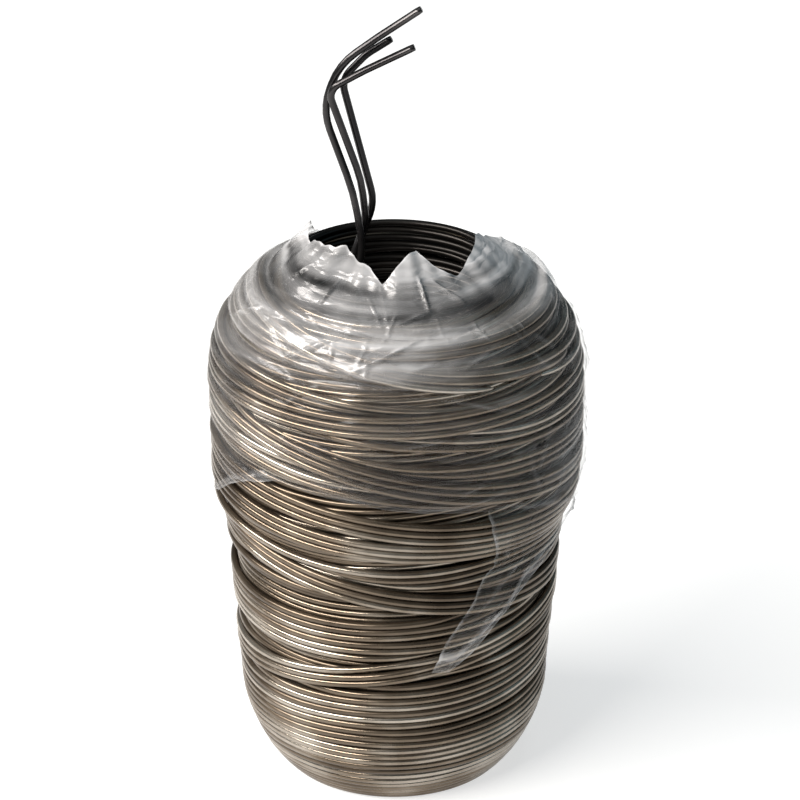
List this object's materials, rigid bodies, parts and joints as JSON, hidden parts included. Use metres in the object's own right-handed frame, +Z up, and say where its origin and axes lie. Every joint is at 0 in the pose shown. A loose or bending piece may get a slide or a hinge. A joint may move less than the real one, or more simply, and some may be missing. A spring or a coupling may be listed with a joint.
{
  "type": "coil of annealed wire",
  "caption": "Coil of annealed tying wire standing on end, a wound barrel with a through bore, free wire ends rising from the mouth and a clear film hood over its shoulder.",
  "frame": {"origin": "centre of the bore at the floor, on the foot's lowest turns", "axes": "+Z up along the coil's axis, -Y towards the front, where the film's torn tongue hangs to the right"},
  "size_m": [0.1112, 0.1112, 0.238],
  "materials": {
    "annealed_wire": "dark annealed steel with an oily sheen",
    "clear_film": "clear creased polythene film"
  },
  "bodies": {
    "root": {"wire_coil": "annealed_wire", "wire_end_long": "annealed_wire", "wire_end_middle": "annealed_wire", "wire_end_short": "annealed_wire", "film_hood": "clear_film"}
  },
  "joints": []
}
